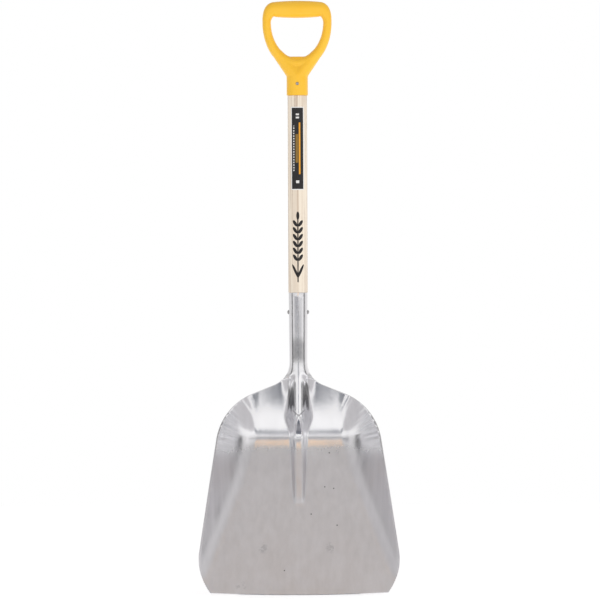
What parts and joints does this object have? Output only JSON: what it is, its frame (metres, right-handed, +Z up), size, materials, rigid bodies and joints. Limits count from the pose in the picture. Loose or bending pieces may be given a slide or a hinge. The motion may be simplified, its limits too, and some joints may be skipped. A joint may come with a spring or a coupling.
{
  "type": "grain scoop shovel",
  "caption": "Scoop shovel with a wide dished aluminium pan, a socketed straight wooden handle and a moulded D-grip, for moving grain and other loose material.",
  "frame": {"origin": "underside of the grip's crossbar, at its middle, where a wall hook carries it", "axes": "+Z up along the handle's axis towards the grip, +X across the pan, -Y towards the pan's load side"},
  "size_m": [0.3798, 0.1316, 1.1257],
  "materials": {
    "pan_sheet": "polished near the socket, satin on the floor, with faint streaks along the pan",
    "handle_wood": "pale straight-grained ash under a thin clear coat",
    "grip_plastic": "satin moulded plastic, orange-yellow",
    "rivet_metal": "as formed",
    "label_film": "printed film"
  },
  "bodies": {
    "root": {"blade": "pan_sheet", "handle": "handle_wood", "d_grip": "grip_plastic", "socket_rivet": "rivet_metal", "grip_rivet": "rivet_metal", "label": "label_film"}
  },
  "joints": []
}
